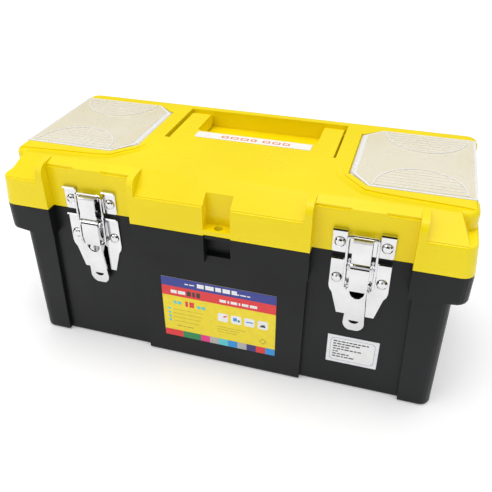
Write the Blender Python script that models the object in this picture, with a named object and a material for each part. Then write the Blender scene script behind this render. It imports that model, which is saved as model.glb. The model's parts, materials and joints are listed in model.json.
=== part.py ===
"""Toolbox with a hinged lid, a fold-flat handle, two toggle latches and a lift-out tray.

Run with blender --background --python part.py. Lengths below are in millimetres and become
metres where a mesh is made. +X runs along the box, -Y is its front, +Z is up, and the origin is
the centre of the base.
"""

import math

import bmesh
import bpy
from mathutils import Vector

MM = 0.001
GAP = 0.3
WALL = 2.4

# Rim and lid outline, seen from above
HALF_LENGTH = 187.6
FRONT = -82.0
REAR = 79.5
RIM_CORNER = 10.0
RECESS_INNER = 72.0
RECESS_OUTER = 145.3
RECESS_FLOOR = -73.1
NOTCH_HALF = 10.9
NOTCH_FLOOR = -71.8

# Tub
TUB_HALF_LENGTH = (178.4, 177.2)
TUB_FRONT = -77.0
TUB_REAR = 76.0
TUB_CORNER = 9.0
PANEL_INNER = (69.2, 70.4)
PANEL_OUTER = (152.4, 148.8)
TUB_FLOOR = 2.6
RIM_BOTTOM = 110.3
RIM_TOP = 135.2
TONGUE_TOP = 137.6

# Lid
LID_BOTTOM = RIM_TOP + 0.45
LID_DRAFT = 2.6
LEDGE = 160.4
PLATEAU = 175.4
UPPER_HALF = 184.2
UPPER_CORNER = 10.0
UPPER_FRONT = -60.5
UPPER_EDGE = 5.0
UPPER_REAR = 78.0
CREASE = -62.5
RECESS_CREST = 172.4
FACET_LOW = -80.6
FACET_OUTER_TOP = 171.0
FACET_OUTER_LOW = 178.8
STRIP = 5.5
LID_HOLLOW_TOP = 149.0
PADLOCK_TAB = (136.6, 140.7)
PADLOCK_HOLE = 3.4

# Organiser bins and their covers
BIN_INNER = 88.1
BIN_CHAMFER = 105.0
BIN_FRONT = -41.0
BIN_BACK = 64.4
BIN_STRAIGHT = (-23.0, 50.7)
BIN_FLOOR = 152.0
BIN_INSET = 4.0
BIN_DIVIDER = 136.5
SEAT = 172.9
COVER_OUTER = 182.0
COVER_TOP = 176.6
COVER_HINGE_X = 90.5
COVER_HINGE_Z = 173.8
COVER_BARREL = 2.0
COVER_PIN = 1.0
COVER_SKIRT_LOW = 164.0
COVER_FIELD = 176.0
FAN_X = 141.5
FAN_RADIUS = 34.0
FAN_Y = (-38.0, 61.4)
FAN_RIB_STEP = 4.8

# Handle and its pocket
POCKET_HALF = 74.0
POCKET = (-1.0, 67.0)
POCKET_FLOOR = 160.0
HANDLE_HALF = 71.6
HANDLE_ARM = 18.0
HANDLE_FRONT = 2.0
HANDLE_GRIP_BACK = 24.0
HANDLE_PIVOT = (60.5, 167.5)
HANDLE_THICK = 12.0
HANDLE_PIN = 2.0

# Rear hinges
HINGE_Y = 81.0
HINGE_Z = 135.4
HINGE_STATION = 112.0
KNUCKLE = 4.0
KNUCKLE_HALF = 10.0
KNUCKLE_WIDTH = 12.0
HINGE_PIN = 1.8

# Latches, measured from the latch's own centre line
LATCH_X = 109.2
PLATE = 1.2
PLATE_FACE = RECESS_FLOOR - GAP - PLATE
KEEPER_HALF = 22.4
KEEPER_Z = (136.5, 157.0)
KEEPER_WEB_TOP = 149.5
TAB_INNER = 11.9
HOOK_HALF = 6.9
HOOK_FRONT = -81.4
HOOK_Z = (132.6, 151.8)
BASE_Z = (80.0, 132.9)
LIP = 2.6
LIP_BEND = 1.6
LIP_LEAN = 0.55
RIVET_OFFSET = 16.9
KEEPER_RIVET_Z = 145.4
BASE_RIVET_Z = 113.4
RIVET_HEAD = 4.3
RIVET_SHANK = 1.7
RIVET_TAIL = 3.0
LEVER_PIVOT = (-78.2, 127.0)
LEVER_HALF = 7.0
LEVER_END_HALF = 8.2
LEVER_BARREL = 3.3
LEVER_BOTTOM = 67.0
LEVER_BEND = 118.8
LEVER_FACE = -82.0
EAR_GAP = 8.0
BAIL_PIVOT = (-78.6, 109.0)
BAIL_TOP = (-77.6, 153.4)
BAIL_HALF = 11.0
BAIL_WIRE = 1.1
SPRING_WIRE = 0.35
SPRING_COIL = 2.1
SPRING_TURNS = 2.2

# Tray
TRAY_HALF = 169.5
TRAY_Y = (-66.8, 70.0)
TRAY_Z = (76.0, 118.0)
TRAY_WALL = 2.0
TRAY_EAR_Z = (113.1, 115.5)
TRAY_EAR_END = 180.4
TRAY_GRIP_TOP = 133.0
TRAY_SLOT = (106.0, 126.0)

# Stickers
STICKER = 0.2
STICKER_GAP = 0.1
FRONT_LABEL = ((-52.2, 47.4), (21.5, 86.0))
DATA_LABEL = ((90.3, 131.7), (26.0, 55.0))
HANDLE_LABEL = ((-51.0, 51.0), (10.0, 21.5))

SIDES = (("left", -1), ("right", 1))


# ---------------------------------------------------------------- materials


def material(name, colour, roughness, metallic=0.0, alpha=1.0):
    made = bpy.data.materials.new(name)
    made.use_nodes = True
    shader = made.node_tree.nodes["Principled BSDF"]
    shader.inputs["Base Color"].default_value = (*colour, 1.0)
    shader.inputs["Roughness"].default_value = roughness
    shader.inputs["Metallic"].default_value = metallic
    shader.inputs["Alpha"].default_value = alpha
    return made


# ---------------------------------------------------------------- shapes


def finish(name, mesh_maker):
    """A new object of this name whose mesh is filled in millimetres and stored in metres."""
    shape = bmesh.new()
    mesh_maker(shape)
    bmesh.ops.recalc_face_normals(shape, faces=shape.faces)
    for vertex in shape.verts:
        vertex.co *= MM
    mesh = bpy.data.meshes.new(name)
    shape.to_mesh(mesh)
    shape.free()
    made = bpy.data.objects.new(name, mesh)
    bpy.context.scene.collection.objects.link(made)
    return made


def loft(name, low_ring, high_ring):
    """A closed solid between two rings with the same number of corners."""

    def fill(shape):
        low = [shape.verts.new(point) for point in low_ring]
        high = [shape.verts.new(point) for point in high_ring]
        shape.faces.new(low)
        shape.faces.new(high)
        for i in range(len(low)):
            j = (i + 1) % len(low)
            shape.faces.new((low[i], low[j], high[j], high[i]))

    return finish(name, fill)


def prism(name, outline, low, high, axis="Z"):
    """Extrudes an outline along an axis. It is (x, y) for Z, (x, z) for Y and (y, z) for X."""
    place = {
        "X": lambda a, b, h: (h, a, b),
        "Y": lambda a, b, h: (a, h, b),
        "Z": lambda a, b, h: (a, b, h),
    }[axis]
    return loft(
        name,
        [place(a, b, low) for a, b in outline],
        [place(a, b, high) for a, b in outline],
    )


def box(name, x, y, z):
    corners = [(x[0], y[0]), (x[1], y[0]), (x[1], y[1]), (x[0], y[1])]
    return prism(name, corners, z[0], z[1])


def hull(name, points):
    """The smallest convex solid around these points."""

    def fill(shape):
        for point in points:
            shape.verts.new(point)
        made = bmesh.ops.convex_hull(shape, input=shape.verts)
        spare = [item for item in made["geom_interior"] if isinstance(item, bmesh.types.BMVert)]
        bmesh.ops.delete(shape, geom=spare, context="VERTS")

    return finish(name, fill)


def turned(name, profile, centre, axis, segments=16):
    """Turns a profile of (radius, height) about an axis through centre. Both ends are on it."""
    spread = {
        "X": lambda r, a, h: (h, r * math.cos(a), r * math.sin(a)),
        "Y": lambda r, a, h: (r * math.cos(a), h, r * math.sin(a)),
        "Z": lambda r, a, h: (r * math.cos(a), r * math.sin(a), h),
    }[axis]

    def fill(shape):
        rings = []
        for radius, height in profile:
            count = segments if radius > 0 else 1
            ring = [
                shape.verts.new(Vector(centre) + Vector(spread(radius, math.tau * i / segments, height)))
                for i in range(count)
            ]
            rings.append(ring)
        for lower, upper in zip(rings, rings[1:]):
            for i in range(segments):
                corners = []
                for ring, k in ((lower, i), (lower, i + 1), (upper, i + 1), (upper, i)):
                    corner = ring[k % len(ring)]
                    if corner not in corners:
                        corners.append(corner)
                shape.faces.new(corners)

    return finish(name, fill)


def rod(name, centre, axis, low, high, radius, segments=16):
    """A round bar along an axis, from low to high on that axis."""
    middle = list(centre)
    middle["XYZ".index(axis)] = 0.0
    profile = [(0.0, low), (radius, low), (radius, high), (0.0, high)]
    return turned(name, profile, middle, axis, segments)


def wire(name, points, radius, roundness=2):
    """A round wire with closed ends through points in millimetres."""
    curve = bpy.data.curves.new(name, "CURVE")
    curve.dimensions = "3D"
    curve.bevel_depth = radius * MM
    curve.bevel_resolution = roundness
    curve.use_fill_caps = True
    spline = curve.splines.new("POLY")
    spline.points.add(len(points) - 1)
    for slot, point in zip(spline.points, points):
        slot.co = (*(Vector(point) * MM), 1.0)
    made = bpy.data.objects.new(name, curve)
    bpy.context.scene.collection.objects.link(made)
    return made


def rounded(points, radii, steps=5):
    """The outline with each corner replaced by an arc of its radius. A radius of 0 keeps it."""
    made = []
    count = len(points)
    for i, (corner, radius) in enumerate(zip(points, radii)):
        here = Vector(corner)
        if radius <= 0:
            made.append(tuple(here))
            continue
        before = (Vector(points[i - 1]) - here).normalized()
        after = (Vector(points[(i + 1) % count]) - here).normalized()
        half = before.angle(after) / 2
        centre = here + (before + after).normalized() * (radius / math.sin(half))
        start = here + before * (radius / math.tan(half)) - centre
        sweep = math.pi - 2 * half
        turn = -1 if before.x * after.y - before.y * after.x > 0 else 1
        for k in range(steps + 1):
            angle = turn * sweep * k / steps
            made.append(
                (
                    centre.x + start.x * math.cos(angle) - start.y * math.sin(angle),
                    centre.y + start.x * math.sin(angle) + start.y * math.cos(angle),
                )
            )
    return made


def arc(centre, radius, start, end, steps):
    """Points on a circle from one angle to another, both in degrees."""
    return [
        (
            centre[0] + radius * math.cos(math.radians(start + (end - start) * k / steps)),
            centre[1] + radius * math.sin(math.radians(start + (end - start) * k / steps)),
        )
        for k in range(steps + 1)
    ]


def combine(target, tool, operation):
    """Applies one Boolean to the target and removes the tool."""
    modifier = target.modifiers.new(operation.title(), "BOOLEAN")
    modifier.operation = operation
    modifier.object = tool
    graph = bpy.context.evaluated_depsgraph_get()
    result = bpy.data.meshes.new_from_object(target.evaluated_get(graph))
    target.modifiers.clear()
    spare = target.data
    target.data = result
    bpy.data.meshes.remove(spare)
    bpy.data.objects.remove(tool)
    return target


def unite(target, *tools):
    for tool in tools:
        combine(target, tool, "UNION")
    return target


def cut(target, *tools):
    for tool in tools:
        combine(target, tool, "DIFFERENCE")
    return target


def keep_common(target, tool):
    return combine(target, tool, "INTERSECT")


def bevel_where(target, test, width, segments=2):
    """Bevels the edges whose two ends both pass the test, given in millimetres."""
    shape = bmesh.new()
    shape.from_mesh(target.data)
    edges = [e for e in shape.edges if all(test(*(v.co / MM)) for v in e.verts)]
    edges = [e for e in edges if e.calc_face_angle() > math.radians(30)]
    bmesh.ops.bevel(
        shape,
        geom=edges,
        offset=width * MM,
        segments=segments,
        profile=0.5,
        affect="EDGES",
        clamp_overlap=True,
    )
    shape.to_mesh(target.data)
    shape.free()
    return target


def complete(target, finish_material, pivot=(0.0, 0.0, 0.0), smooth=35.0):
    """Names the mesh, gives it its material, and puts its origin on its joint's axis."""
    target.data.name = target.name
    target.data.materials.clear()
    target.data.materials.append(finish_material)
    if target.type == "MESH":
        target.data.shade_smooth()
        target.data.set_sharp_from_angle(angle=math.radians(smooth))
        for vertex in target.data.vertices:
            vertex.co -= Vector(pivot) * MM
    else:
        for spline in target.data.splines:
            for point in spline.points:
                point.co = (*(point.co.xyz - Vector(pivot) * MM), 1.0)
    target.location = Vector(pivot) * MM
    return target


# ---------------------------------------------------------------- outlines


def rim_outline(inset=0.0):
    """The rim seen from above, with its two latch recesses and the padlock notch."""
    end = HALF_LENGTH - inset
    front = FRONT + inset
    floor = RECESS_FLOOR + inset
    notch = NOTCH_FLOOR + inset
    outer = RECESS_OUTER + inset
    inner = RECESS_INNER - inset
    slot = NOTCH_HALF + inset
    corner = max(RIM_CORNER - inset, 1.0)
    half = [(slot, front), (inner, front), (inner, floor), (outer, floor), (outer, front), (end, front)]
    half_radii = [0, 0, 0, 0, 0, corner]
    right = [(slot, notch)] + half + [(end, REAR - inset)]
    radii = [0] + half_radii + [corner]
    left = [(-x, y) for x, y in reversed(right)]
    return rounded(right + left, radii + radii[::-1])


def tub_outline(z, inset=0.0):
    """The tub at a height below the rim, with its panels set back behind the latches."""
    end, panel_inner, panel_outer = (
        low + (high - low) * z / RIM_BOTTOM for low, high in (TUB_HALF_LENGTH, PANEL_INNER, PANEL_OUTER)
    )
    end -= inset
    front = TUB_FRONT + inset
    floor = RECESS_FLOOR + inset
    corner = max(TUB_CORNER - inset, 1.0)
    right = [
        (panel_inner - inset, front),
        (panel_inner - inset, floor),
        (panel_outer + inset, floor),
        (panel_outer + inset, front),
        (end, front),
        (end, TUB_REAR - inset),
    ]
    radii = [0, 0, 0, 0, corner, corner]
    left = [(-x, y) for x, y in reversed(right)]
    return rounded(right + left, radii + radii[::-1])


def tub_solid(name, inset, low, high):
    """The tub's outline, followed from one height to another."""
    return loft(name, *([(x, y, z) for x, y in tub_outline(z, inset)] for z in (low, high)))


def lip_solid(name, inset, low, high):
    """The lid's lip, whose two ends lean in towards the top, as a mould needs."""

    def at(z):
        lean = LID_DRAFT * (z - LID_BOTTOM) / (LEDGE - LID_BOTTOM)
        shift = {-1: lean, 0: 0.0, 1: -lean}
        return [(x + shift[(x > 160) - (x < -160)], y, z) for x, y in rim_outline(inset)]

    return loft(name, at(low), at(high))


def bin_outline(side, inset=0.0, inner=BIN_INNER, outer=COVER_OUTER):
    """The six-sided organiser opening on one side of the lid."""
    slant = inset * 0.42
    points = [
        (inner + inset, BIN_STRAIGHT[0] + slant),
        (BIN_CHAMFER + slant, BIN_FRONT + inset),
        (outer - inset, BIN_FRONT + inset),
        (outer - inset, BIN_BACK - inset),
        (BIN_CHAMFER + slant, BIN_BACK - inset),
        (inner + inset, BIN_STRAIGHT[1] - slant),
    ]
    return [(side * x, y) for x, y in points]


# ---------------------------------------------------------------- tub, lid and tray


def hinge_knuckle(name, x, above):
    """A round knuckle from x[0] to x[1] with a web that joins it to the wall in front of it."""
    made = rod(name, (0, HINGE_Y, HINGE_Z), "X", x[0], x[1], KNUCKLE, 20)
    reach = 8.5 if above else -8.5
    web = [
        (REAR - 1.8, HINGE_Z + reach),
        (REAR - 1.8, HINGE_Z),
        (HINGE_Y + KNUCKLE * 0.94, HINGE_Z),
        (HINGE_Y + KNUCKLE * 0.94, HINGE_Z + reach * 0.16),
    ]
    return unite(made, prism("web", web, x[0], x[1], "X"))


def hinge_stations():
    """(side, centre, body knuckle spans) of each rear hinge."""
    for side in (-1, 1):
        centre = side * HINGE_STATION
        near = KNUCKLE_HALF + GAP
        far = near + KNUCKLE_WIDTH
        yield centre, ((centre - far, centre - near), (centre + near, centre + far))


def pin_bore(x_low, x_high, radius):
    return rod("bore", (0, HINGE_Y, HINGE_Z), "X", x_low, x_high, radius, 16)


def rivet_places():
    """(name, x, z) of each rivet, with whether it is in the lid."""
    for word, side in SIDES:
        for part, z in (("keeper", KEEPER_RIVET_Z), ("base", BASE_RIVET_Z)):
            for place, offset in (("outer", RIVET_OFFSET), ("inner", -RIVET_OFFSET)):
                name = f"{part}_rivet_{word}_{place}"
                yield name, side * (LATCH_X + offset), z, part == "keeper"


def rivet_hole(x, z, low, high):
    return rod("hole", (x, 0, z), "Y", low, high, RIVET_SHANK + GAP, 12)


def make_tub(black):
    tub = tub_solid("tub", 0.0, 0.0, RIM_BOTTOM + 4.0)
    bevel_where(tub, lambda x, y, z: z < 0.01, 3.0, 3)
    rim = prism("rim", rim_outline(), RIM_BOTTOM, RIM_TOP)
    bevel_where(rim, lambda x, y, z: z < RIM_BOTTOM + 0.01 and (abs(x) > 160 or y > 60), 3.5, 3)
    unite(tub, rim)
    cut(
        tub,
        tub_solid("inside", WALL, TUB_FLOOR, RIM_BOTTOM + WALL + 2.0),
        prism("rim_inside", rim_outline(WALL), RIM_BOTTOM + WALL, RIM_TOP + 5.0),
    )
    tongue = prism("tongue", rim_outline(WALL + 0.4), RIM_TOP - 5.0, TONGUE_TOP)
    unite(tongue, prism("foot", rim_outline(WALL - 0.4), RIM_TOP - 8.0, RIM_TOP - GAP))
    cut(tongue, prism("clear", rim_outline(WALL + 1.6), RIM_TOP - 10.0, TONGUE_TOP + 1.0))
    unite(tub, tongue)
    eye_depth = (FRONT + 1.5, NOTCH_FLOOR + 1)
    eye = box("eye", (-NOTCH_HALF - 1, NOTCH_HALF + 1), eye_depth, (RIM_TOP - 3, RIM_TOP - GAP))
    unite(tub, eye)
    cut(tub, rod("eye_hole", (0, -76.6, 0), "Z", RIM_TOP - 6, RIM_TOP + 2, PADLOCK_HOLE, 16))
    for centre, spans in hinge_stations():
        clear = KNUCKLE + 0.4
        cut(tub, pin_bore(centre - KNUCKLE_HALF - GAP, centre + KNUCKLE_HALF + GAP, clear))
        for low, high in spans:
            unite(tub, hinge_knuckle("knuckle", (low, high), False))
            cut(tub, pin_bore(low - 1, high + 1, HINGE_PIN + GAP))
    for _, x, z, in_lid in rivet_places():
        if not in_lid:
            cut(tub, rivet_hole(x, z, RECESS_FLOOR - 1, RECESS_FLOOR + WALL + 1))
    return complete(tub, black)


def stacked(name, rings):
    """A closed solid through level rings with the same number of corners, from the bottom up."""

    def fill(shape):
        made = [[shape.verts.new(point) for point in ring] for ring in rings]
        shape.faces.new(made[0])
        shape.faces.new(made[-1])
        for low, high in zip(made, made[1:]):
            for i in range(len(low)):
                j = (i + 1) % len(low)
                shape.faces.new((low[i], low[j], high[j], high[i]))

    return finish(name, fill)


def upper_body():
    """The lid above its ledge: a level top with rounded corners and a rounded edge all round."""

    def ring(inset, z):
        end = UPPER_HALF - inset
        front, rear = UPPER_FRONT + inset, UPPER_REAR - inset
        plan = [(-end, front), (end, front), (end, rear), (-end, rear)]
        return [(x, y, z) for x, y in rounded(plan, [UPPER_CORNER - inset] * 4)]

    rings = [ring(0.0, LID_BOTTOM), ring(0.0, PLATEAU - UPPER_EDGE)]
    for k in range(1, 6):
        angle = math.radians(18 * k)
        rings.append(ring(UPPER_EDGE * (1 - math.cos(angle)), PLATEAU - UPPER_EDGE * (1 - math.sin(angle))))
    return stacked("upper", rings)


def recess_nose(side):
    """The lid in front of the crease, above one latch recess."""
    profile = [
        (UPPER_FRONT + 9.0, LID_BOTTOM),
        (RECESS_FLOOR, LID_BOTTOM),
        (RECESS_FLOOR, RECESS_CREST),
        (CREASE, PLATEAU),
        (UPPER_FRONT + 9.0, PLATEAU),
    ]
    ends = sorted((side * (RECESS_INNER - 1.0), side * (RECESS_OUTER + 1.0)))
    return prism("recess_nose", profile, *ends, "X")


def frame_groove(side):
    """The step in front of one organiser frame: steep behind, running out level in front."""
    path = [
        ((UPPER_HALF + 3.0, -55.0), (0.0, -5.0), 0.9),
        ((171.6, -52.9), (0.0, -9.0), 0.9),
        ((114.0, -48.5), (0.0, -10.0), 0.9),
        ((103.0, -46.5), (-4.0, -8.0), 0.9),
        ((86.0, -28.5), (-7.0, -3.0), 0.6),
        ((80.5, -14.0), (-4.0, 0.0), 0.05),
    ]
    rings = []
    for (x, y), (run_x, run_y), depth in path:
        low = (side * x, y, PLATEAU - depth)
        out = (side * (x + run_x), y + run_y, PLATEAU)
        rings.append([low, out, (*out[:2], PLATEAU + 2.0), (*low[:2], PLATEAU + 2.0)])
    return [hull("groove", first + second) for first, second in zip(rings, rings[1:])]


def strip_profile():
    """The full-height edge strip beside a latch recess, rounded from the front to the top."""
    top = arc((FRONT + 9.0, 165.8), 9.0, 180, 95, 5)
    rear = CREASE + 9.5
    return [(FRONT, LEDGE - 3.0)] + top + [(CREASE, PLATEAU), (rear, PLATEAU), (rear, LEDGE - 3.0)]


def block_facet(name, inner, outer_top, outer_low):
    """The sloped front of one lid block, which narrows towards the top at its outer end."""
    points = []
    for x_top, x_low in ((inner, inner), (outer_top, outer_low)):
        points += [(x_top, CREASE, PLATEAU), (x_top, CREASE + 9.0, PLATEAU), (x_low, FACET_LOW, LEDGE + 0.6)]
        points += [(x_low, FACET_LOW, LEDGE - 3.0), (x_low, CREASE + 9.0, LEDGE - 3.0)]
    return hull(name, points)


def make_lid(yellow):
    lid = lip_solid("lid", 0.0, LID_BOTTOM, LEDGE)
    bevel_where(lid, lambda x, y, z: z > LEDGE - 0.01, 1.2, 2)
    unite(lid, upper_body())
    centre = RECESS_INNER - 0.05
    unite(lid, block_facet("facet", -centre, centre, centre))
    for side in (-1, 1):
        unite(lid, recess_nose(side))
        outer = (side * FACET_OUTER_TOP, side * FACET_OUTER_LOW)
        unite(lid, block_facet("facet", side * (RECESS_OUTER + 0.05), *outer))
        for low in (RECESS_INNER - STRIP, RECESS_OUTER):
            span = sorted((side * low, side * (low + STRIP)))
            unite(lid, prism("strip", strip_profile(), *span, "X"))
    for side in (-1, 1):
        cut(lid, *frame_groove(side))
    cut(lid, box("notch", (-NOTCH_HALF, NOTCH_HALF), (FRONT - 5, NOTCH_FLOOR), (LID_BOTTOM - 5, PLATEAU + 5)))
    cut_lid_hollows(lid)
    add_lid_fittings(lid)
    return complete(lid, yellow, (0.0, HINGE_Y, HINGE_Z))


def cut_lid_hollows(lid):
    cut(lid, lip_solid("inside", WALL, LID_BOTTOM - 2, LID_HOLLOW_TOP))
    top = PLATEAU - WALL
    rear = [(CREASE + 1.5, top), (BIN_FRONT - 3.0, top), (BIN_FRONT - 3.0, LID_HOLLOW_TOP - 1)]
    face = RECESS_FLOOR + WALL
    nose = [(face, LID_HOLLOW_TOP - 1), (face, RECESS_CREST - 2.2)] + rear
    face = FRONT + WALL
    block = [(face, LID_HOLLOW_TOP - 1), (face, LEDGE - WALL), (FACET_LOW + 1.5, LEDGE - WALL)] + rear
    middle = [(CREASE + 1.5, LID_HOLLOW_TOP - 1)] + rear
    cut(lid, prism("front_inside", middle, -170.0, 170.0, "X"))
    inner = BIN_INNER - 5.0
    cut(
        lid,
        box("centre_inside", (-inner, inner), (BIN_FRONT - 4, POCKET[0] - WALL), (LID_HOLLOW_TOP - 1, top)),
        box("rear_inside", (-178, 178), (POCKET[1] + WALL, UPPER_REAR - WALL), (LID_HOLLOW_TOP - 1, top - 3)),
        box("under_pocket", (-71.5, 71.5), (-4.5, 64.0), (LID_HOLLOW_TOP - 1, POCKET_FLOOR - WALL)),
    )
    for side in (-1, 1):
        beside = sorted((side * (POCKET_HALF + WALL), side * (BIN_INNER + BIN_INSET - WALL - 0.3)))
        cut(lid, box("beside_pocket", beside, (-2.0, 50.0), (LID_HOLLOW_TOP - 1, 169.5)))
        spans = (
            (nose, RECESS_INNER - 2.0, RECESS_OUTER + 2.0),
            (block, NOTCH_HALF + WALL, RECESS_INNER - WALL),
            (block, RECESS_OUTER + WALL, 169.0),
        )
        for profile, *span in spans:
            cut(lid, prism("front_inside", profile, *sorted(side * x for x in span), "X"))


def add_lid_fittings(lid):
    cut(lid, box("pocket", (-POCKET_HALF, POCKET_HALF), POCKET, (POCKET_FLOOR, PLATEAU + 5)))
    pivot = (0, *HANDLE_PIVOT)
    reach = POCKET_HALF + 5.0
    cut(lid, rod("handle_bore", pivot, "X", -reach, reach, HANDLE_PIN + GAP, 16))
    for side in (-1, 1):
        add_organiser(lid, side)
        pad = [
            (RECESS_INNER - 1, 171.0),
            (96.0, 171.0),
            (99.0, 173.2),
            (121.0, 173.2),
            (124.0, 171.0),
            (RECESS_OUTER - STRIP + 6.5, 171.0),
            (RECESS_OUTER - STRIP + 6.5, PLATEAU + 3),
            (RECESS_INNER - 1, PLATEAU + 3),
        ]
        relief = prism("relief", [(side * x, z) for x, z in pad], FRONT - 1, RECESS_FLOOR + 1.3, "Y")
        keep = box("keep", sorted((side * RECESS_INNER, side * RECESS_OUTER)), (FRONT - 2, -60), (160, 180))
        cut(lid, keep_common(relief, keep))
    tab = box("tab", (-NOTCH_HALF - 1, NOTCH_HALF + 1), (FRONT, NOTCH_FLOOR + 1), PADLOCK_TAB)
    cut(tab, rod("tab_hole", (0, -76.6, 0), "Z", 130, 150, PADLOCK_HOLE, 16))
    unite(lid, tab)
    for centre, spans in hinge_stations():
        for low, high in spans:
            cut(lid, pin_bore(low - GAP, high + GAP, KNUCKLE + 0.4))
        ends = (centre - KNUCKLE_HALF, centre + KNUCKLE_HALF)
        unite(lid, hinge_knuckle("knuckle", ends, True))
        cut(lid, pin_bore(ends[0] - 1, ends[1] + 1, HINGE_PIN + GAP))
    for _, x, z, in_lid in rivet_places():
        if in_lid:
            cut(lid, rivet_hole(x, z, RECESS_FLOOR - 1, RECESS_FLOOR + WALL + 1))


def add_organiser(lid, side):
    """One bin with its cover seat, hinge trough, pin holes, end relief and dividers."""
    cut(
        lid,
        prism("seat", bin_outline(side, -0.35, outer=COVER_OUTER + 8), SEAT, PLATEAU + 5),
        prism("bin", bin_outline(side, BIN_INSET, outer=COVER_OUTER), BIN_FLOOR, PLATEAU + 5),
        box(
            "end_relief",
            sorted((side * 180.0, side * 192.0)),
            (BIN_FRONT - 0.35, BIN_BACK + 0.35),
            (COVER_SKIRT_LOW - 1.5, PLATEAU + 5),
        ),
    )
    axis = (side * COVER_HINGE_X, 0, COVER_HINGE_Z)
    low, high = BIN_STRAIGHT
    swing = sorted((side * (BIN_INNER - 0.35), side * (COVER_HINGE_X + 1.0)))
    cut(lid, box("swing_room", swing, (low - 2.5, high + 2.5), (SEAT, PLATEAU + 5)))
    cut(lid, rod("trough", axis, "Y", low, high, COVER_BARREL + 0.35, 16))
    cut(lid, rod("pin_holes", axis, "Y", low - 6, high + 6, COVER_PIN + GAP, 12))
    along = sorted((side * (BIN_DIVIDER - 0.8), side * (BIN_DIVIDER + 0.8)))
    across = sorted((side * (BIN_INNER + 3.0), side * BIN_DIVIDER))
    unite(lid, box("divider", along, (BIN_FRONT + 3, BIN_BACK - 3), (BIN_FLOOR - 1, SEAT - 1)))
    unite(lid, box("divider", across, (10.8, 12.4), (BIN_FLOOR - 1, SEAT - 1)))


def add_fans(cover, side):
    """The two ribbed half rounds on a cover, each with its flat side to the front or the back edge."""
    low = COVER_FIELD - 0.6
    for centre_y, turn in zip(FAN_Y, (1, -1)):
        centre = (side * FAN_X, centre_y)
        rim = arc(centre, FAN_RADIUS, 0, 180 * turn, 24) + arc(centre, FAN_RADIUS - 1.1, 180 * turn, 0, 24)
        unite(cover, prism("fan_rim", rim, low, COVER_TOP))
        for k in range(7):
            depth = FAN_RIB_STEP * k + 0.4
            reach = math.sqrt((FAN_RADIUS - 0.5) ** 2 - depth**2)
            across = (centre[0] - reach, centre[0] + reach)
            y = centre_y + turn * depth
            unite(cover, box("fan_rib", across, (y - 0.45, y + 0.45), (low, COVER_TOP - 0.25)))


def make_cover(word, side, clear):
    """A see-through organiser cover: plate, skirt, hinge barrel with pins, and end flange."""
    plate = bin_outline(side, inner=COVER_HINGE_X)
    cover = prism(f"organiser_cover_{word}", plate, SEAT + GAP, COVER_TOP - 1.0)
    unite(cover, prism("crown", bin_outline(side, 2.2, inner=COVER_HINGE_X + 0.8), SEAT + 1, COVER_FIELD))
    cut(cover, prism("under", bin_outline(side, 1.8, inner=COVER_HINGE_X + 0.6), SEAT - 2, COVER_TOP - 1.8))
    flange = box(
        "flange",
        sorted((side * (180.0 + GAP), side * COVER_OUTER)),
        (BIN_FRONT + 0.02, BIN_BACK - 0.02),
        (COVER_SKIRT_LOW, COVER_TOP - 1.1),
    )
    unite(cover, flange)
    add_fans(cover, side)
    axis = (side * COVER_HINGE_X, 0, COVER_HINGE_Z)
    low, high = BIN_STRAIGHT
    unite(cover, rod("barrel", axis, "Y", low + 1.0, high - 1.0, COVER_BARREL, 16))
    unite(cover, rod("pins", axis, "Y", low - 5, high + 5, COVER_PIN, 12))
    return complete(cover, clear, axis)


def make_handle(yellow):
    inner = HANDLE_HALF - HANDLE_ARM
    rear = HANDLE_PIVOT[0] + 8.0
    outline = [
        (-HANDLE_HALF, HANDLE_FRONT),
        (HANDLE_HALF, HANDLE_FRONT),
        (HANDLE_HALF, rear),
        (inner, rear),
        (inner, HANDLE_GRIP_BACK),
        (-inner, HANDLE_GRIP_BACK),
        (-inner, rear),
        (-HANDLE_HALF, rear),
    ]
    low = HANDLE_PIVOT[1] - HANDLE_THICK / 2
    high = HANDLE_PIVOT[1] + HANDLE_THICK / 2
    handle = prism("carrying_handle", rounded(outline, [4, 4, 0, 0, 5, 5, 0, 0]), low, high)
    side_view = [(HANDLE_FRONT - 1, low), (HANDLE_FRONT - 1, high)]
    side_view += arc(HANDLE_PIVOT, HANDLE_THICK / 2, 90, -90, 10)
    keep_common(handle, prism("side_view", side_view, -HANDLE_HALF - 1, HANDLE_HALF + 1, "X"))
    bevel_where(handle, lambda x, y, z: True, 1.6, 2)
    reach = HANDLE_HALF - 9.0
    for side in (-1, 1):
        ends = sorted((side * reach, side * (HANDLE_HALF + 1)))
        cut(handle, rod("bore", (0, *HANDLE_PIVOT), "X", *ends, HANDLE_PIN + GAP, 16))
    return complete(handle, yellow, (0, *HANDLE_PIVOT))


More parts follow.
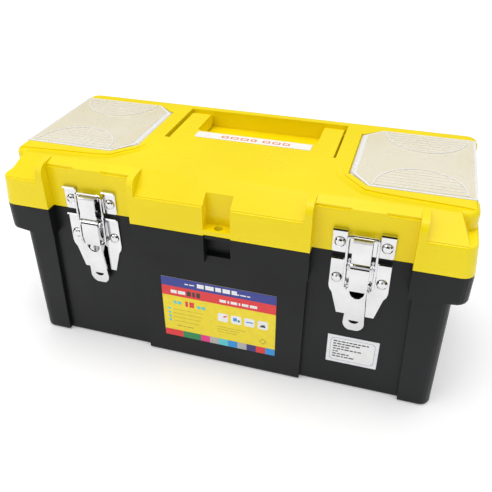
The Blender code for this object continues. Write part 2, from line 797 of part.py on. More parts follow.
def make_tray(grey):
    low, high = TRAY_Z
    outer = [(-TRAY_HALF, TRAY_Y[0]), (TRAY_HALF, TRAY_Y[0]), (TRAY_HALF, TRAY_Y[1]), (-TRAY_HALF, TRAY_Y[1])]
    tray = prism("tray", rounded(outer, [6.0] * 4), low, high)
    end = TRAY_HALF - TRAY_WALL
    front, back = TRAY_Y[0] + TRAY_WALL, TRAY_Y[1] - TRAY_WALL
    rows = (((front, -1.5), (-end, -56.0, 56.0, end)), ((1.5, back), (-end, -84.0, 84.0, end)))
    for depth, walls in rows:
        for left, right in zip(walls, walls[1:]):
            span = (left + (0.8 if left > -end else 0), right - (0.8 if right < end else 0))
            cut(tray, box("pocket", span, depth, (low + TRAY_WALL, high + 5)))
    grip = [(-62, high - 6), (62, high - 6), (56, TRAY_GRIP_TOP), (-56, TRAY_GRIP_TOP)]
    slot = [(-42, TRAY_SLOT[0]), (42, TRAY_SLOT[0]), (42, TRAY_SLOT[1]), (-42, TRAY_SLOT[1])]
    unite(tray, prism("grip", rounded(grip, [0, 0, 6, 6]), -1.6, 1.6, "Y"))
    cut(tray, prism("slot", rounded(slot, [8.0] * 4), -4, 4, "Y"))
    for side in (-1, 1):
        span = sorted((side * (TRAY_HALF - 1), side * TRAY_EAR_END))
        unite(tray, box("ear", span, (-55, 57), TRAY_EAR_Z))
    return complete(tray, grey, (0, 0, TRAY_EAR_Z[0]))


# ---------------------------------------------------------------- latches


def mirrored(outline):
    """Both halves of an outline given from the centre line's bottom to its top."""
    return outline + [(-x, z) for x, z in reversed(outline)]


def at_latch(outline, side):
    return [(side * LATCH_X + x, z) for x, z in outline]


def front_lips(plate, centre, inner, outer, top):
    """Forward-bent top edges on both sides of the latch."""
    for side in (-1, 1):
        span = sorted((centre + side * inner, centre + side * outer))
        under = top - PLATE
        front = PLATE_FACE - LIP
        root = PLATE_FACE + 0.4
        profile = [(root, under - LIP_BEND), (root, top), (front + LIP_LEAN, top), (front, under)]
        profile += arc((PLATE_FACE - LIP_BEND, under - LIP_BEND), LIP_BEND, 90, 0, 5)
        unite(plate, prism("lip", profile, *span, "X"))


def make_keeper(word, side, chrome):
    centre = side * LATCH_X
    low, high = KEEPER_Z
    outline = mirrored(
        [
            (KEEPER_HALF - 1.2, low),
            (KEEPER_HALF, low + 1.2),
            (KEEPER_HALF, high),
            (TAB_INNER, high),
            (TAB_INNER, KEEPER_WEB_TOP),
        ]
    )
    back = RECESS_FLOOR - GAP
    keeper = prism(f"latch_keeper_{word}", at_latch(outline, side), PLATE_FACE, back, "Y")
    front_lips(keeper, centre, TAB_INNER, KEEPER_HALF, high)
    hook = [
        (PLATE_FACE + 0.5, KEEPER_WEB_TOP - 3.0),
        (PLATE_FACE + 0.5, HOOK_Z[1]),
        *arc((HOOK_FRONT + 1.6, HOOK_Z[1] - 1.6), 1.6, 90, 180, 3),
        (HOOK_FRONT, HOOK_Z[0]),
        (HOOK_FRONT + PLATE, HOOK_Z[0]),
        (HOOK_FRONT + PLATE, HOOK_Z[1] - PLATE),
        (PLATE_FACE - 1.2, HOOK_Z[1] - PLATE),
        (PLATE_FACE - 0.6, KEEPER_WEB_TOP - 3.0),
    ]
    unite(keeper, prism("hook", hook, centre - HOOK_HALF, centre + HOOK_HALF, "X"))
    for offset in (-RIVET_OFFSET, RIVET_OFFSET):
        cut(keeper, rivet_hole(centre + offset, KEEPER_RIVET_Z, PLATE_FACE - 1, back + 0.5))
    return complete(keeper, chrome)


def make_base(word, side, chrome):
    centre = side * LATCH_X
    low, high = BASE_Z
    outline = mirrored(
        [
            (14.5, low),
            (19.5, 98.7),
            (21.6, 102.0),
            (22.4, 105.5),
            (22.0, high),
            (12.8, high),
            (12.8, high - 1.6),
        ]
    )
    back = RECESS_FLOOR - GAP
    base = prism(f"latch_base_{word}", at_latch(outline, side), PLATE_FACE, back, "Y")
    front_lips(base, centre, 12.8, 22.0, high)
    pivot_y, pivot_z = LEVER_PIVOT
    ear = [(PLATE_FACE + 0.5, pivot_z - 5.0), (PLATE_FACE + 0.5, pivot_z + 5.0)]
    ear += arc(LEVER_PIVOT, 2.8, 60, 300, 8)
    for sign in (-1, 1):
        span = sorted((centre + sign * EAR_GAP, centre + sign * (EAR_GAP + PLATE)))
        unite(base, prism("ear", ear, *span, "X"))
    bore = rod("bore", (0, pivot_y, pivot_z), "X", centre - 12, centre + 12, 1.1 + GAP, 12)
    cut(base, bore)
    for offset in (-RIVET_OFFSET, RIVET_OFFSET):
        cut(base, rivet_hole(centre + offset, BASE_RIVET_Z, PLATE_FACE - 1, back + 0.5))
    return complete(base, chrome)


def lever_front(z):
    """How far forward the lever's face stands at a height: full to the bend, then leaning in."""
    bend, bend_y = LEVER_BEND, LEVER_FACE
    if z >= bend:
        return bend_y
    return bend_y + (bend - z) * 4.4 / (bend - LEVER_BOTTOM)


def make_lever(word, side, chrome):
    centre = side * LATCH_X
    pivot_y, pivot_z = LEVER_PIVOT
    bend, tip = LEVER_BEND, LEVER_BOTTOM
    outside = [(lever_front(tip), tip), (lever_front(bend), bend)]
    crest = arc(LEVER_PIVOT, LEVER_BARREL, 170, 0, 8)
    inside = [(pivot_y + 2.6, 104.0), (pivot_y - 0.4, 100.0), (lever_front(tip) + PLATE, tip)]
    section = outside + crest + inside
    half = LEVER_END_HALF + 2
    lever = prism(f"latch_lever_{word}", section, centre - half, centre + half, "X")
    half_view = [(0.0, tip)]
    half_view += [(x, z) for x, z in arc((0.0, tip + 7.4), LEVER_END_HALF, -72, 0, 5)]
    half_view += [(LEVER_HALF, 96.0), (LEVER_HALF, pivot_z + 6)]
    front_view = half_view + [(-x, z) for x, z in reversed(half_view[1:])]
    keep_common(lever, prism("front_view", at_latch(front_view, side), -95, -60, "Y"))
    channel = [
        (lever_front(tip) + PLATE, tip - 1),
        (lever_front(bend) + PLATE, bend),
        (pivot_y - LEVER_BARREL + PLATE, pivot_z),
        *arc(LEVER_PIVOT, LEVER_BARREL - PLATE, 180, 0, 6),
        (pivot_y + 6, pivot_z - 2),
        (pivot_y + 6, tip - 1),
    ]
    cut(lever, prism("channel", channel, centre - LEVER_HALF + PLATE, centre + LEVER_HALF - PLATE, "X"))
    for top, depth, half in ((107.3, 7.2, 5.6), (77.4, 3.2, 3.9)):
        turns = [math.pi * k / 10 for k in range(11)]
        moon = [(half * math.cos(a), top - depth * math.sin(a)) for a in turns]
        cut(lever, prism("moon", at_latch(moon, side), -95, lever_front(top) + 4.0, "Y"))
    for pivot, radius in ((LEVER_PIVOT, 1.1), (BAIL_PIVOT, BAIL_WIRE)):
        cut(lever, rod("bore", (0, *pivot), "X", centre - 15, centre + 15, radius + GAP, 12))
    return complete(lever, chrome, (centre, *LEVER_PIVOT))


def bail_route(centre):
    """From one inward end up round the keeper hook and down to the other inward end."""
    top_y, top_z = BAIL_TOP
    foot_y, foot_z = BAIL_PIVOT
    bend = 3.0
    half = []
    for k in range(5):
        angle = math.radians(90 - 22.5 * k)
        half.append((BAIL_HALF - bend + bend * math.cos(angle), 0.0, top_z - bend + bend * math.sin(angle)))
    half.append((BAIL_HALF, 0.0, foot_z + 2.2))
    half.append((BAIL_HALF - 0.7, 0.0, foot_z + 0.6))
    half.append((BAIL_HALF - 2.2, 0.0, foot_z))
    half.append((LEVER_HALF - 2.0, 0.0, foot_z))
    route = [(-x, y, z) for x, y, z in reversed(half)] + half
    span = top_z - foot_z
    return [(centre + x, foot_y + (top_y - foot_y) * (z - foot_z) / span, z) for x, _, z in route]


def make_bail(word, side, chrome):
    centre = side * LATCH_X
    bail = wire(f"latch_bail_{word}", bail_route(centre), BAIL_WIRE, 2)
    return complete(bail, chrome, (centre, *BAIL_PIVOT))


def make_spring(word, side, place, sign, chrome):
    """A small coil on the bail's inward end, between the lever's cheek and the bail's leg."""
    start = LEVER_HALF + GAP + SPRING_WIRE
    pitch = 0.72
    steps = 10
    points = []
    for k in range(int(SPRING_TURNS * steps) + 1):
        turn = math.tau * k / steps
        x = side * LATCH_X + sign * (start + pitch * k / steps)
        y = BAIL_PIVOT[0] + SPRING_COIL * math.cos(turn)
        z = BAIL_PIVOT[1] + SPRING_COIL * math.sin(turn)
        points.append((x, y, z))
    spring = wire(f"latch_spring_{word}_{place}", points, SPRING_WIRE, 1)
    return complete(spring, chrome, (side * LATCH_X, *BAIL_PIVOT))


def make_rivet(name, x, z, chrome):
    """A domed head, a shank through plate and wall, and a clinched tail inside."""
    head_base = PLATE_FACE - GAP
    wall_back = RECESS_FLOOR + WALL + GAP
    dome = [
        (RIVET_HEAD * math.cos(math.radians(a)), head_base - 2.0 * math.sin(math.radians(a)))
        for a in (90, 68, 45, 22, 0)
    ]
    dome[0] = (0.0, dome[0][1])
    profile = dome + [
        (RIVET_SHANK, head_base),
        (RIVET_SHANK, wall_back),
        (RIVET_TAIL, wall_back),
        (RIVET_TAIL - 0.4, wall_back + 0.9),
        (0.0, wall_back + 0.9),
    ]
    return complete(turned(name, profile, (x, 0, z), "Y", 14), chrome)


def make_latches(chrome):
    for word, side in SIDES:
        centre = side * LATCH_X
        make_keeper(word, side, chrome)
        make_base(word, side, chrome)
        make_lever(word, side, chrome)
        make_bail(word, side, chrome)
        reach = EAR_GAP + PLATE + 0.6
        pin = rod(f"latch_pivot_pin_{word}", (0, *LEVER_PIVOT), "X", centre - reach, centre + reach, 1.1, 12)
        complete(pin, chrome)
        for place, sign in (("outer", side), ("inner", -side)):
            make_spring(word, side, place, sign, chrome)
    for name, x, z, _ in rivet_places():
        make_rivet(name, x, z, chrome)


# ---------------------------------------------------------------- pins and stickers


def make_pins(steel, yellow):
    for word, side in SIDES:
        centre = side * HINGE_STATION
        reach = KNUCKLE_HALF + GAP + KNUCKLE_WIDTH
        name = f"lid_hinge_pin_{word}"
        hinge = rod(name, (0, HINGE_Y, HINGE_Z), "X", centre - reach, centre + reach, HINGE_PIN)
        complete(hinge, steel)
        ends = sorted((side * (HANDLE_HALF - 8.5), side * (POCKET_HALF + 4.5)))
        complete(rod(f"handle_pin_{word}", (0, *HANDLE_PIVOT), "X", *ends, HANDLE_PIN), yellow)


def make_stickers(front_paper, data_paper, strip_paper):
    def on_face(name, area, face, paper):
        (x_low, x_high), (z_low, z_high) = area
        back = face - STICKER_GAP
        complete(box(name, (x_low, x_high), (back - STICKER, back), (z_low, z_high)), paper)

    on_face("front_label", FRONT_LABEL, TUB_FRONT, front_paper)
    on_face("data_label", DATA_LABEL, RECESS_FLOOR, data_paper)
    (x_low, x_high), (y_low, y_high) = HANDLE_LABEL
    low = HANDLE_PIVOT[1] + HANDLE_THICK / 2 + STICKER_GAP
    strip = box("handle_label", (x_low, x_high), (y_low, y_high), (low, low + STICKER))
    complete(strip, strip_paper, (0, *HANDLE_PIVOT))


def main():
    for thing in list(bpy.data.objects):
        bpy.data.objects.remove(thing)
    yellow = material("yellow_plastic", (0.93, 0.74, 0.02), 0.32)
    black = material("black_plastic", (0.022, 0.023, 0.025), 0.42)
    clear = material("frosted_plastic", (0.93, 0.92, 0.86), 0.35, alpha=0.6)
    chrome = material("chromed_steel", (0.88, 0.88, 0.88), 0.12, 1.0)
    steel = material("plain_steel", (0.60, 0.60, 0.61), 0.3, 1.0)
    grey = material("tray_plastic", (0.05, 0.05, 0.055), 0.45)
    make_tub(black)
    make_lid(yellow)
    for word, side in SIDES:
        make_cover(word, side, clear)
    make_handle(yellow)
    make_tray(grey)
    make_latches(chrome)
    make_pins(steel, yellow)
    make_stickers(
        material("front_sticker", (0.95, 0.80, 0.05), 0.4),
        material("data_sticker", (0.92, 0.93, 0.95), 0.5),
        material("strip_sticker", (0.96, 0.93, 0.90), 0.4),
    )


main()
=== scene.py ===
"""Looks for the toolbox with tray: materials, printed stickers, studio and camera.

Lengths are in metres, in the CAD frame: +X along the box, -Y its front, +Z up.
"""

import json
import math

import bmesh
import bpy
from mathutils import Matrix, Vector


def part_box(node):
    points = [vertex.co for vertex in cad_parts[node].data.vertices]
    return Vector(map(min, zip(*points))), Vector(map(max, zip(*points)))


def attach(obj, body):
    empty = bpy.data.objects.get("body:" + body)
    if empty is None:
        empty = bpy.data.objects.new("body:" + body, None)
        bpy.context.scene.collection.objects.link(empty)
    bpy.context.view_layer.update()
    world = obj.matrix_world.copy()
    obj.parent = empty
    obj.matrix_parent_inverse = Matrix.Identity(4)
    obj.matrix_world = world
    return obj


MM = 0.001

# How far the print stands off its sticker, and what its layers add to that, in millimetres.
PRINT_LIFT = 0.05
PRINT_LAYERS = 0.004

FLOOR_REACH = 4.0
FLOOR_LEVEL = -0.0004
FLOOR_GLOW = 0.18

# The sky's grey at each height, from straight below to straight above.
SKY_TONES = ((0.0, 0.01), (0.34, 0.02), (0.48, 0.85), (0.80, 1.0))
SKY_STRENGTH = 0.84

# Each soft light's place, size and power.
PANELS = {
    "top_panel": ((0.05, 0.15, 3.2), 2.6, 46.0),
    "front_left_panel": ((-0.75, -0.95, 0.75), 0.8, 3.2),
    "front_right_panel": ((0.9, -0.7, 0.6), 0.6, 0.8),
}
PANEL_AIM = (0, 0, 0.08)

CAMERA_PLACE = (0.1308, -0.4391, 0.3834)
CAMERA_AIM = (0.0006, -0.0059, 0.0794)
CAMERA_LENS = 43.72
CAMERA_SENSOR = 36.0

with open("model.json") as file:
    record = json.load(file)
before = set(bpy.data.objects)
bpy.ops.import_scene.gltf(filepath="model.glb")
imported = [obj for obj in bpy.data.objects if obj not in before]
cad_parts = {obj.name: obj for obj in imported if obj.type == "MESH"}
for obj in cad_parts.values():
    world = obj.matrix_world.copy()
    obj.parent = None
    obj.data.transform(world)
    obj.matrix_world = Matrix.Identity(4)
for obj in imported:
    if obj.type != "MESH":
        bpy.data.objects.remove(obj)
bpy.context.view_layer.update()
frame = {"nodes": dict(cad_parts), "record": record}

# The cover's thin field lies this far under its rims and ribs.
FIELD_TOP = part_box("organiser_cover_left")[1][2] - 0.6 * MM


# ---------------------------------------------------------------- materials


class Nodes:
    """A small helper that adds and links nodes in one material."""

    def __init__(self, name):
        self.material = bpy.data.materials.new(name)
        self.material.use_nodes = True
        self.tree = self.material.node_tree
        self.shader = self.tree.nodes["Principled BSDF"]
        self.place = self.add("ShaderNodeTexCoord").outputs["Object"]

    def add(self, kind, **settings):
        node = self.tree.nodes.new(kind)
        for key, value in settings.items():
            setattr(node, key, value)
        return node

    def link(self, source, target):
        self.tree.links.new(source, target)

    def noise(self, scale, detail=3.0, stretch=(1.0, 1.0, 1.0)):
        mapping = self.add("ShaderNodeMapping")
        mapping.inputs["Scale"].default_value = stretch
        self.link(self.place, mapping.inputs["Vector"])
        node = self.add("ShaderNodeTexNoise")
        node.inputs["Scale"].default_value = scale
        node.inputs["Detail"].default_value = detail
        self.link(mapping.outputs["Vector"], node.inputs["Vector"])
        return node.outputs["Fac"]

    def spread(self, source, low, high, start=0.3, end=0.7):
        """The source remapped so that start gives low and end gives high."""
        node = self.add("ShaderNodeMapRange")
        limits = {"From Min": start, "From Max": end, "To Min": low, "To Max": high}
        for key, value in limits.items():
            node.inputs[key].default_value = value
        self.link(source, node.inputs["Value"])
        return node.outputs["Result"]

    def two_tone(self, source, low, high, start=0.3, end=0.7):
        ramp = self.add("ShaderNodeValToRGB")
        ramp.color_ramp.elements[0].position = start
        ramp.color_ramp.elements[0].color = (*low, 1.0)
        ramp.color_ramp.elements[1].position = end
        ramp.color_ramp.elements[1].color = (*high, 1.0)
        self.link(source, ramp.inputs["Fac"])
        self.link(ramp.outputs["Color"], self.shader.inputs["Base Color"])

    def bumps(self, *layers):
        """Bump layers of (height, strength, distance in metres), chained onto the shader's normal."""
        normal = None
        for height, strength, distance in layers:
            bump = self.add("ShaderNodeBump")
            bump.inputs["Strength"].default_value = strength
            bump.inputs["Distance"].default_value = distance
            self.link(height, bump.inputs["Height"])
            if normal:
                self.link(normal, bump.inputs["Normal"])
            normal = bump.outputs["Normal"]
        self.link(normal, self.shader.inputs["Normal"])

    def set(self, **values):
        for key, value in values.items():
            self.shader.inputs[key.replace("_", " ")].default_value = value


def plastic(name, low, high, gloss, grain, coat=0.0, specular=0.5):
    """Moulded plastic: slow colour drift, soft flow marks, fine surface grain and uneven gloss."""
    made = Nodes(name)
    made.two_tone(made.noise(9.0, 4.0), low, high, 0.35, 0.65)
    made.link(made.spread(made.noise(26.0, 5.0), *gloss), made.shader.inputs["Roughness"])
    flow = made.noise(16.0, 2.0, (0.5, 1.0, 1.0))
    fine = made.noise(2600.0, 2.0)
    made.bumps((flow, 0.25, 0.4 * MM), (fine, grain, 0.05 * MM))
    made.shader.inputs["Specular IOR Level"].default_value = specular
    if coat:
        made.shader.inputs["Coat Weight"].default_value = coat
        made.shader.inputs["Coat Roughness"].default_value = 0.12
    return made.material


def plated(name, low, high, gloss):
    """Bright plated steel: faint ripples from pressing, fine brushing and a little haze."""
    made = Nodes(name)
    made.two_tone(made.noise(60.0, 4.0), low, high, 0.3, 0.7)
    made.link(made.spread(made.noise(140.0, 4.0), *gloss), made.shader.inputs["Roughness"])
    ripple = made.noise(90.0, 1.0)
    brushed = made.noise(900.0, 2.0, (1.0, 1.0, 0.08))
    made.bumps((ripple, 0.25, 0.12 * MM), (brushed, 0.10, 0.02 * MM))
    made.set(Metallic=1.0)
    return made.material


def frosted(name):
    """Milky see-through plastic with painted light: its rims and ribs are painted whiter than its field,
    a painted glow standing in for light scattered in the thicker plastic.
    """
    made = Nodes(name)
    split = made.add("ShaderNodeSeparateXYZ")
    made.link(made.place, split.inputs[0])
    # Painted light: everything above the field's top face and below it is painted whiter than the field
    # itself.
    raised_painted_glow = made.spread(split.outputs["Z"], 0.0, 0.75, FIELD_TOP + 0.05 * MM, FIELD_TOP + 0.25 * MM)
    edge = made.spread(split.outputs["Z"], 0.9, 0.0, FIELD_TOP - 0.35 * MM, FIELD_TOP - 0.1 * MM)
    either = made.add("ShaderNodeMath", operation="MAXIMUM")
    made.link(raised_painted_glow, either.inputs[0])
    made.link(edge, either.inputs[1])
    cloud = made.spread(made.noise(14.0, 3.0), 0.0, 0.25)
    tone = made.add("ShaderNodeMath", operation="MAXIMUM")
    made.link(either.outputs[0], tone.inputs[0])
    made.link(cloud, tone.inputs[1])
    made.two_tone(tone.outputs[0], (0.90, 0.82, 0.59), (0.99, 0.98, 0.95), 0.0, 0.7)
    made.link(made.spread(made.noise(60.0, 3.0), 0.24, 0.38), made.shader.inputs["Roughness"])
    made.bumps((made.noise(22.0, 2.0), 0.2, 0.4 * MM), (made.noise(1800.0, 2.0), 0.18, 0.05 * MM))
    made.shader.inputs["Transmission Weight"].default_value = 0.2
    made.shader.inputs["IOR"].default_value = 1.46
    return made.material


def paper(name, colour, roughness=0.38):
    """Printed and laminated sticker stock of one ink, with slight mottle and a soft sheen."""
    made = Nodes(name)
    low = tuple(max(0.0, c * 0.93) for c in colour)
    made.two_tone(made.noise(240.0, 4.0), low, colour, 0.25, 0.6)
    gloss = made.spread(made.noise(90.0, 3.0), roughness - 0.06, roughness + 0.06)
    made.link(gloss, made.shader.inputs["Roughness"])
    made.bumps((made.noise(130.0, 3.0), 0.12, 0.05 * MM))
    return made.material


YELLOW = plastic(
    "moulded_yellow",
    (0.90, 0.70, 0.001),
    (0.95, 0.77, 0.004),
    gloss=(0.24, 0.36),
    grain=0.14,
    coat=0.08,
    specular=0.26,
)
BLACK = plastic(
    "moulded_black",
    (0.0065, 0.007, 0.0075),
    (0.011, 0.012, 0.013),
    gloss=(0.34, 0.46),
    grain=0.55,
    specular=0.23,
)
TRAY = plastic(
    "moulded_tray_grey",
    (0.040, 0.042, 0.046),
    (0.056, 0.058, 0.062),
    gloss=(0.42, 0.54),
    grain=0.5,
)
CLEAR = frosted("frosted_cover")
CHROME = plated("bright_chrome", (0.64, 0.64, 0.65), (0.73, 0.73, 0.74), (0.03, 0.08))
STEEL = plated("plain_steel", (0.46, 0.46, 0.48), (0.62, 0.62, 0.63), (0.22, 0.36))

BY_SLOT = {
    "yellow_plastic": YELLOW,
    "black_plastic": BLACK,
    "tray_plastic": TRAY,
    "frosted_plastic": CLEAR,
    "chrome": CHROME,
    "steel": STEEL,
    "front_sticker": paper("sticker_yellow", (0.93, 0.74, 0.02)),
    "data_sticker": paper("sticker_white", (0.86, 0.87, 0.90), 0.5),
    "strip_sticker": paper("sticker_cream", (0.93, 0.90, 0.86)),
}

INKS = {
    "blue": (0.030, 0.045, 0.30),
    "red": (0.80, 0.035, 0.040),
    "green": (0.02, 0.26, 0.09),
    "pink": (0.82, 0.03, 0.26),
    "grey": (0.48, 0.47, 0.45),
    "cyan": (0.10, 0.62, 0.68),
    "sky": (0.02, 0.30, 0.74),
    "navy": (0.035, 0.03, 0.20),
    "white": (0.90, 0.90, 0.90),
    "black": (0.03, 0.03, 0.03),
    "olive": (0.50, 0.38, 0.03),
    "orange": (0.80, 0.22, 0.05),
    "edge": (0.35, 0.38, 0.46),
}
INK = {name: paper(f"ink_{name}", colour) for name, colour in INKS.items()}
INK["front"] = BY_SLOT["front_sticker"]


# ---------------------------------------------------------------- a material on each CAD node

slots = {part["node"]: part["material_slot"] for part in frame["record"]["subparts"]}
for name, node in frame["nodes"].items():
    node.data.materials.clear()
    node.data.materials.append(BY_SLOT[slots[name]])


# ---------------------------------------------------------------- printed stickers


def sheet_print(name, node, body, axes, cells):
    """Printed fields on a sticker.

    Each cell is (ink, [corners]) in millimetres from the sticker's low corner. The axes are the
    sticker's across, up and outward ones. Later cells stand a little prouder.
    """
    low, high = (Vector(corner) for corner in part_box(node))
    across, up, out = axes
    shape = bmesh.new()
    inks = []
    for layer, (ink, corners) in enumerate(cells):
        if ink not in inks:
            inks.append(ink)
        points = []
        for a, b in corners:
            point = [0.0, 0.0, 0.0]
            point[across] = low[across] + a * MM
            point[up] = low[up] + b * MM
            height = (PRINT_LIFT + PRINT_LAYERS * layer / len(cells)) * MM
            point[out] = low[out] - height if out == 1 else high[out] + height
            points.append(shape.verts.new(point))
        face = shape.faces.new(points)
        face.material_index = inks.index(ink)
    shape.normal_update()
    wanted = Vector((0, -1, 0)) if out == 1 else Vector((0, 0, 1))
    for face in shape.faces:
        if face.normal.dot(wanted) < 0:
            face.normal_flip()
    mesh = bpy.data.meshes.new(name)
    shape.to_mesh(mesh)
    shape.free()
    for ink in inks:
        mesh.materials.append(INK[ink])
    made = bpy.data.objects.new(name, mesh)
    bpy.context.scene.collection.objects.link(made)
    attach(made, body)
    return made


def bar(x, z, width, height):
    """The corners of an upright rectangle from its low corner."""
    return [(x, z), (x + width, z), (x + width, z + height), (x, z + height)]


def disc(x, z, radius, sides=16):
    """The corners of a filled circle around x and z."""
    return [
        (x + radius * math.cos(math.tau * k / sides), z + radius * math.sin(math.tau * k / sides))
        for k in range(sides)
    ]


def words(ink, x, z, height, widths, gap):
    """A row of plain bars that stands for a line of print."""
    made = []
    for width in widths:
        made.append((ink, bar(x, z, width, height)))
        x += width + gap
    return made


def front_print():
    """The front sticker: a row of colours, a yellow field of plain shapes, a red band and a blue one."""
    low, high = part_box("front_label")
    width = (high[0] - low[0]) / MM
    height = (high[2] - low[2]) / MM
    strip, yellow, red = 7.1, 45.2, 55.3
    cells = [
        ("blue", bar(0, red, width, height - red)),
        ("red", bar(0, yellow, width, red - yellow)),
    ]
    row = ("red", "red", "green", "green", "pink", "grey", "cyan", "sky", "grey", "navy", "red", "sky")
    for k, ink in enumerate(row):
        cells.append((ink, bar(k * width / len(row), 0, width / len(row) + 0.01, strip)))
    cells += words("white", 32.0, red + 2.6, 4.2, (6.0, 7.4, 5.0, 6.4, 4.6), 1.3)
    cells += words("white", 21.0, red + 3.8, 1.1, (3.2, 4.6), 0.8)
    cells += words("white", 65.0, red + 3.0, 1.1, (3.6, 5.0, 2.6), 0.8)
    cells += words("white", 8.0, yellow + 2.8, 3.4, (5.4, 6.6), 1.1)
    cells += words("black", 22.5, yellow + 2.2, 5.2, (3.6, 2.2, 3.4), 1.3)
    cells += words("white", 51.5, yellow + 2.6, 2.8, (5.6, 1.4, 5.6, 1.4, 5.6, 6.2), 1.3)
    cells += words("cyan", 10.0, 36.8, 3.0, (2.6, 3.4), 0.8)
    cells += words("red", 20.5, 35.4, 5.8, (2.4, 4.2), 1.3)
    cells += words("cyan", 31.0, 35.8, 2.8, (3.0, 3.6), 0.8)
    for k in range(4):
        z = 30.6 - 4.3 * k
        cells.append(("cyan", disc(5.6, z, 1.35)))
        cells += words("olive", 9.0, z - 0.2, 0.45, (11.0, 6.0, 9.0 - 1.5 * k), 0.8)
    cells += words("olive", 11.5, 12.2, 0.9, (5.0, 2.2, 6.2), 1.0)
    cells += words("olive", 49.0, 20.6, 0.5, (8.0, 6.0, 9.0), 0.9)
    cells += words("olive", 49.0, 17.8, 0.5, (10.0, 9.0), 0.9)
    cells += words("olive", 49.0, 15.0, 0.5, (6.0, 10.0), 0.9)
    for k in range(4):
        x = 49.5 + 11.6 * k
        corner = 1.1
        field = [
            (x + corner, 27.0),
            (x + 9.0 - corner, 27.0),
            (x + 9.0, 27.0 + corner),
            (x + 9.0, 36.0 - corner),
            (x + 9.0 - corner, 36.0),
            (x + corner, 36.0),
            (x, 36.0 - corner),
            (x, 27.0 + corner),
        ]
        cells.append(("white", field))
    cells.append(("red", [(54.6, 31.4), (57.6, 33.0), (57.0, 34.4), (54.0, 32.6)]))
    cells.append(("sky", bar(63.0, 30.0, 3.4, 3.6)))
    cells.append(("green", bar(67.0, 29.6, 1.8, 2.4)))
    cells.append(("sky", bar(74.4, 31.0, 5.8, 1.3)))
    cells.append(("black", [(86.0, 29.2), (91.4, 29.2), (90.2, 32.2), (87.4, 31.4)]))
    cells.append(("olive", [(89.0, 10.4), (92.4, 13.6), (89.0, 16.8), (85.6, 13.6)]))
    cells.append(("front", [(89.0, 11.4), (91.4, 13.6), (89.0, 15.8), (86.6, 13.6)]))
    sheet_print("front_label_print", "front_label", "tub", (0, 2, 1), cells)


def data_print():
    """The white data sticker: a thin cut-cornered border around rows of small print."""
    low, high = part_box("data_label")
    width = (high[0] - low[0]) / MM
    height = (high[2] - low[2]) / MM
    inset, line, cut = 2.6, 0.35, 2.2

    def border(shrink):
        a, b = inset + shrink, cut
        right, top = width - a, height - a
        return [
            (a + b, a),
            (right - b, a),
            (right, a + b),
            (right, top - b),
            (right - b, top),
            (a + b, top),
            (a, top - b),
            (a, a + b),
        ]

    cells = [("edge", border(0.0)), ("white", border(line))]
    rows = (
        (3.0, 2.0, 3.4, 1.6, 2.6, 3.0, 2.2, 3.2, 2.0),
        (2.2, 3.6, 2.0, 4.2, 2.6, 3.4),
        (3.4, 1.6, 2.8, 3.2),
        (2.4, 3.0, 2.0, 3.6, 2.6, 2.2, 3.0),
        (1.6, 2.0),
        (3.0, 2.6, 3.8, 2.0),
        (2.6, 3.2, 2.0, 3.0, 4.0),
    )
    for k, widths in enumerate(rows):
        cells += words("black", 5.0, height - 6.6 - 2.75 * k, 1.25, widths, 0.7)
    sheet_print("data_label_print", "data_label", "tub", (0, 2, 1), cells)


def handle_print():
    """The handle's strip: seven outlined blocks in a row."""
    low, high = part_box("handle_label")
    width = (high[0] - low[0]) / MM
    cells = []
    x = width / 2 - 27.5
    blocks = ((6.0, 2.0), (7.0, 2.0), (7.0, 2.0), (5.0, 5.5), (6.5, 2.0), (7.0, 2.0), (6.0, 0.0))
    for wide, gap in blocks:
        cells.append(("orange", bar(x, 3.4, wide, 4.4)))
        cells.append(("white", bar(x + 1.2, 4.5, wide - 2.4, 2.2)))
        x += wide + gap
    sheet_print("handle_label_print", "handle_label", "handle", (0, 1, 2), cells)


front_print()
data_print()
handle_print()


# ---------------------------------------------------------------- studio


def facing(place, aim):
    """The rotation that turns a light or a camera at place towards aim."""
    return (Vector(aim) - Vector(place)).to_track_quat("-Z", "Y").to_euler()


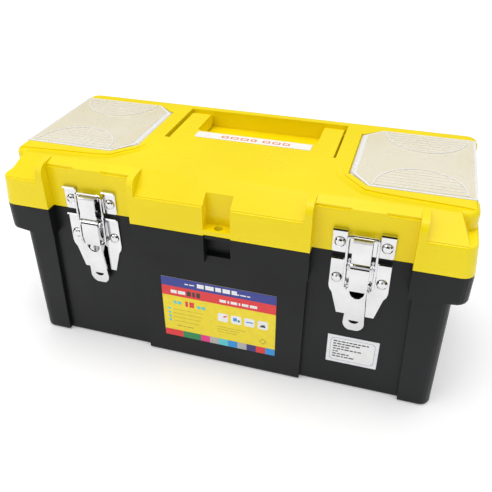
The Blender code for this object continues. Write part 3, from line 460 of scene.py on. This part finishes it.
def studio():
    """A pale floor, a sky that brightens upwards, soft lights and the photograph's camera."""
    scene = bpy.context.scene
    mesh = bpy.data.meshes.new("studio_floor")
    turns = ((-1, -1), (1, -1), (1, 1), (-1, 1))
    corners = [(a * FLOOR_REACH, b * FLOOR_REACH, FLOOR_LEVEL) for a, b in turns]
    mesh.from_pydata(corners, [], [(0, 1, 2, 3)])
    floor = bpy.data.objects.new("studio_floor", mesh)
    scene.collection.objects.link(floor)
    white = Nodes("studio_paper")
    white.two_tone(white.noise(3.0, 2.0), (0.90, 0.90, 0.90), (0.92, 0.92, 0.92))
    white.set(Roughness=0.7, Emission_Color=(1.0, 1.0, 1.0, 1.0), Emission_Strength=FLOOR_GLOW)
    mesh.materials.append(white.material)

    world = bpy.data.worlds.new("studio")
    scene.world = world
    world.use_nodes = True
    tree = world.node_tree
    coordinates = tree.nodes.new("ShaderNodeTexCoord")
    split = tree.nodes.new("ShaderNodeSeparateXYZ")
    ramp = tree.nodes.new("ShaderNodeValToRGB")
    tree.links.new(coordinates.outputs["Generated"], split.inputs[0])
    tree.links.new(split.outputs["Z"], ramp.inputs["Fac"])
    stops = ramp.color_ramp.elements
    for stop, (position, tone) in zip(stops, (SKY_TONES[0], SKY_TONES[-1])):
        stop.position = position
        stop.color = (tone, tone, tone, 1.0)
    for position, tone in SKY_TONES[1:-1]:
        stops.new(position).color = (tone, tone, tone, 1.0)
    background = tree.nodes["Background"]
    background.inputs["Strength"].default_value = SKY_STRENGTH
    tree.links.new(ramp.outputs["Color"], background.inputs["Color"])

    for name, (place, size, power) in PANELS.items():
        light = bpy.data.lights.new(name, "AREA")
        light.size = size
        light.energy = power
        made = bpy.data.objects.new(name, light)
        made.location = place
        made.rotation_euler = facing(place, PANEL_AIM)
        scene.collection.objects.link(made)

    lens = bpy.data.cameras.new("camera")
    lens.lens = CAMERA_LENS
    lens.sensor_width = CAMERA_SENSOR
    camera = bpy.data.objects.new("camera", lens)
    camera.location = CAMERA_PLACE
    camera.rotation_euler = facing(CAMERA_PLACE, CAMERA_AIM)
    scene.collection.objects.link(camera)
    scene.camera = camera
    scene.view_settings.view_transform = "Standard"


studio()
